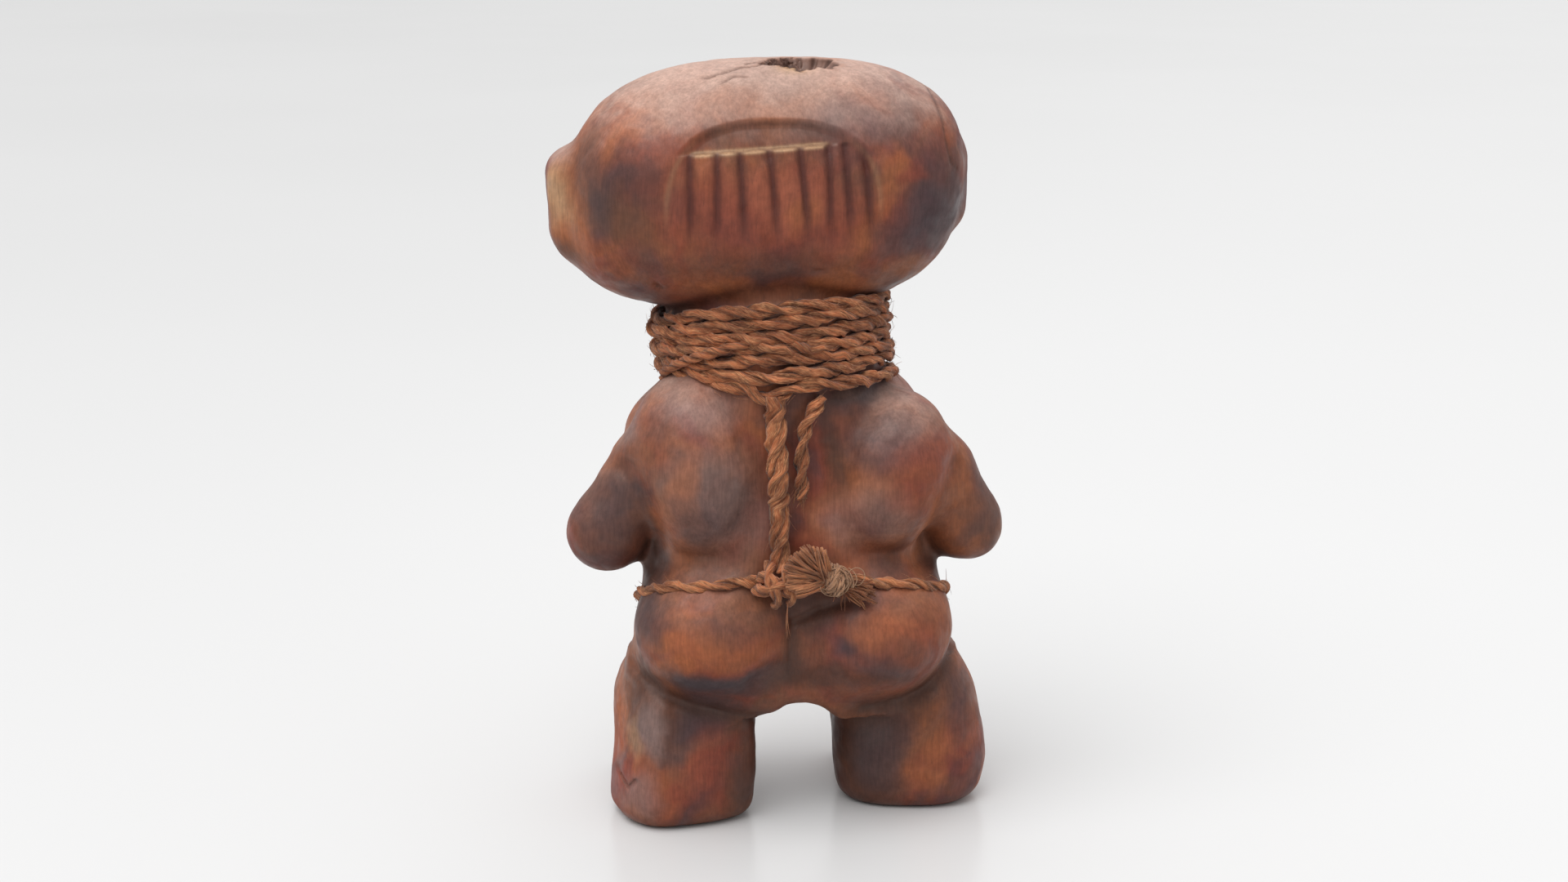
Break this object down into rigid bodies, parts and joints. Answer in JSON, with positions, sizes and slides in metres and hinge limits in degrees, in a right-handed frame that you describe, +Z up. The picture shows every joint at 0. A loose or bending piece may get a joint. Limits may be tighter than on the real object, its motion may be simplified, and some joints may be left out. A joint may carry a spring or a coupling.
{
  "type": "fertility doll",
  "caption": "Squat carved wooden figure with a wide barrel head and ear lugs, its neck wound with twisted plant-fibre cord, cord tails down the spine and a knotted waist cord.",
  "frame": {"origin": "middle of the box around the doll, on the surface it stands on", "axes": "+Z up, the doll faces -Y, its own left hand is towards +X"},
  "size_m": [0.1482, 0.096, 0.2501],
  "materials": {
    "stained_wood": "satin",
    "plant_fibre": "matte",
    "pale_twine": "matte"
  },
  "bodies": {
    "root": {"carved_figure": "stained_wood", "neck_cord": "plant_fibre", "spine_cord_left": "plant_fibre", "spine_cord_right": "plant_fibre", "waist_cord": "plant_fibre", "waist_knot": "plant_fibre", "tassel_left": "plant_fibre", "tassel_right": "plant_fibre", "knot_binding": "pale_twine"}
  },
  "joints": []
}
